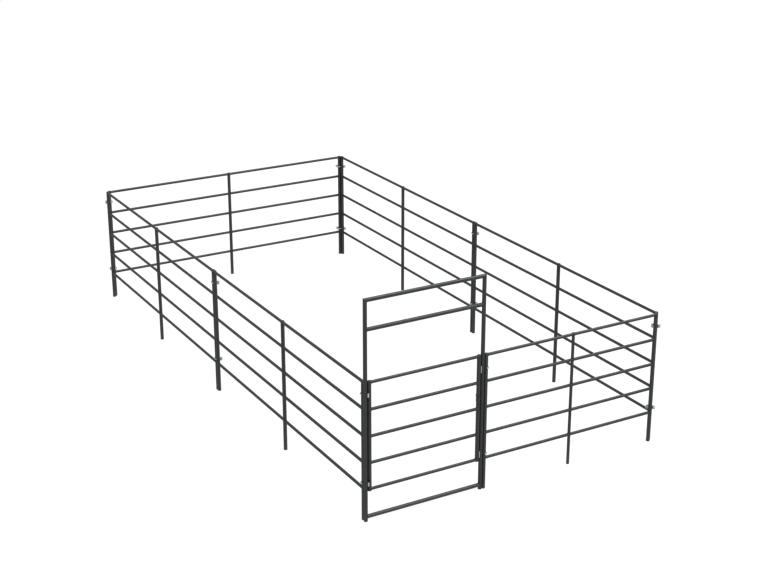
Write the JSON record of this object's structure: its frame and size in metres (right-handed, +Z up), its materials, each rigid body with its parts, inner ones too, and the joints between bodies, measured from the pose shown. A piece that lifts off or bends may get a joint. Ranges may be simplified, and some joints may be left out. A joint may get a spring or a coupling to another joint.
{
  "type": "livestock stall",
  "caption": "Portable livestock stall: a rectangular pen of tubular rail panels with a swing gate in a tall walk-through frame, joined by drop-pin connectors.",
  "frame": {"origin": "centre of the bounding box on the ground plane, under the middle of the pen", "axes": "+Z up, Y along the long sides with the gate end at -Y, +X to the right when looking in through the gate end"},
  "size_m": [3.7478, 7.3913, 2.409],
  "materials": {
    "panel_paint": "satin charcoal enamel on round steel tube",
    "gate_paint": "satin charcoal enamel on round steel tube",
    "hardware_paint": "satin charcoal enamel on small steel parts",
    "zinc_connector": "dull grey zinc plate",
    "zinc_pin": "dull grey zinc plate, rubbed on the shank"
  },
  "bodies": {
    "pen": {"left_front_panel": "panel_paint", "left_rear_panel": "panel_paint", "back_panel": "panel_paint", "right_rear_panel": "panel_paint", "right_front_panel": "panel_paint", "front_panel": "panel_paint", "gate_frame": "gate_paint", "gate_hinge_pin_upper": "hardware_paint", "gate_hinge_pin_lower": "hardware_paint", "clevis_left_middle_upper": "zinc_connector", "eye_plate_left_middle_upper": "zinc_connector", "clevis_left_middle_lower": "zinc_connector", "eye_plate_left_middle_lower": "zinc_connector", "clevis_right_middle_upper": "zinc_connector", "eye_plate_right_middle_upper": "zinc_connector", "clevis_right_middle_lower": "zinc_connector", "eye_plate_right_middle_lower": "zinc_connector", "clevis_left_back_upper": "zinc_connector", "eye_plate_left_back_upper": "zinc_connector", "clevis_left_back_lower": "zinc_connector", "eye_plate_left_back_lower": "zinc_connector", "clevis_right_back_upper": "zinc_connector", "eye_plate_right_back_upper": "zinc_connector", "clevis_right_back_lower": "zinc_connector", "eye_plate_right_back_lower": "zinc_connector", "clevis_right_front_upper": "zinc_connector", "eye_plate_right_front_upper": "zinc_connector", "clevis_right_front_lower": "zinc_connector", "eye_plate_right_front_lower": "zinc_connector", "clevis_left_front_upper": "zinc_connector", "eye_plate_left_front_upper": "zinc_connector", "clevis_left_front_lower": "zinc_connector", "eye_plate_left_front_lower": "zinc_connector", "clevis_gate_post_upper": "zinc_connector", "eye_plate_gate_post_upper": "zinc_connector", "clevis_gate_post_lower": "zinc_connector", "eye_plate_gate_post_lower": "zinc_connector"},
    "gate": {"gate_leaf": "gate_paint", "gate_hinge_barrel_upper": "zinc_connector", "gate_hinge_barrel_lower": "zinc_connector", "gate_stop_upper": "zinc_connector", "gate_stop_lower": "zinc_connector", "latch_bolt": "hardware_paint", "latch_nut": "zinc_connector"},
    "latch": {"latch_arm": "hardware_paint"},
    "pin_left_middle_upper": {"drop_pin_left_middle_upper": "zinc_pin"},
    "pin_left_middle_lower": {"drop_pin_left_middle_lower": "zinc_pin"},
    "pin_right_middle_upper": {"drop_pin_right_middle_upper": "zinc_pin"},
    "pin_right_middle_lower": {"drop_pin_right_middle_lower": "zinc_pin"},
    "pin_left_back_upper": {"drop_pin_left_back_upper": "zinc_pin"},
    "pin_left_back_lower": {"drop_pin_left_back_lower": "zinc_pin"},
    "pin_right_back_upper": {"drop_pin_right_back_upper": "zinc_pin"},
    "pin_right_back_lower": {"drop_pin_right_back_lower": "zinc_pin"},
    "pin_right_front_upper": {"drop_pin_right_front_upper": "zinc_pin"},
    "pin_right_front_lower": {"drop_pin_right_front_lower": "zinc_pin"},
    "pin_left_front_upper": {"drop_pin_left_front_upper": "zinc_pin"},
    "pin_left_front_lower": {"drop_pin_left_front_lower": "zinc_pin"},
    "pin_gate_post_upper": {"drop_pin_gate_post_upper": "zinc_pin"},
    "pin_gate_post_lower": {"drop_pin_gate_post_lower": "zinc_pin"}
  },
  "joints": [
    {"name": "gate_swing", "type": "hinge", "parent": "pen", "child": "gate", "pos_m": [-1.81887, -3.68435, 0.9], "axis": [0, 0, 1], "range_deg": [-170, 0]},
    {"name": "latch_turn", "type": "hinge", "parent": "gate", "child": "latch", "pos_m": [-0.51477, -3.66335, 1.083], "axis": [0, -1, 0], "range_deg": [-90, 90]},
    {"name": "lift_left_middle_upper", "type": "slide", "parent": "pen", "child": "pin_left_middle_upper", "axis": [0, 0, 1], "range_m": [0, 0.045]},
    {"name": "lift_left_middle_lower", "type": "slide", "parent": "pen", "child": "pin_left_middle_lower", "axis": [0, 0, 1], "range_m": [0, 0.045]},
    {"name": "lift_right_middle_upper", "type": "slide", "parent": "pen", "child": "pin_right_middle_upper", "axis": [0, 0, 1], "range_m": [0, 0.045]},
    {"name": "lift_right_middle_lower", "type": "slide", "parent": "pen", "child": "pin_right_middle_lower", "axis": [0, 0, 1], "range_m": [0, 0.045]},
    {"name": "lift_left_back_upper", "type": "slide", "parent": "pen", "child": "pin_left_back_upper", "axis": [0, 0, 1], "range_m": [0, 0.045]},
    {"name": "lift_left_back_lower", "type": "slide", "parent": "pen", "child": "pin_left_back_lower", "axis": [0, 0, 1], "range_m": [0, 0.045]},
    {"name": "lift_right_back_upper", "type": "slide", "parent": "pen", "child": "pin_right_back_upper", "axis": [0, 0, 1], "range_m": [0, 0.045]},
    {"name": "lift_right_back_lower", "type": "slide", "parent": "pen", "child": "pin_right_back_lower", "axis": [0, 0, 1], "range_m": [0, 0.045]},
    {"name": "lift_right_front_upper", "type": "slide", "parent": "pen", "child": "pin_right_front_upper", "axis": [0, 0, 1], "range_m": [0, 0.045]},
    {"name": "lift_right_front_lower", "type": "slide", "parent": "pen", "child": "pin_right_front_lower", "axis": [0, 0, 1], "range_m": [0, 0.045]},
    {"name": "lift_left_front_upper", "type": "slide", "parent": "pen", "child": "pin_left_front_upper", "axis": [0, 0, 1], "range_m": [0, 0.045]},
    {"name": "lift_left_front_lower", "type": "slide", "parent": "pen", "child": "pin_left_front_lower", "axis": [0, 0, 1], "range_m": [0, 0.045]},
    {"name": "lift_gate_post_upper", "type": "slide", "parent": "pen", "child": "pin_gate_post_upper", "axis": [0, 0, 1], "range_m": [0, 0.045]},
    {"name": "lift_gate_post_lower", "type": "slide", "parent": "pen", "child": "pin_gate_post_lower", "axis": [0, 0, 1], "range_m": [0, 0.045]}
  ]
}
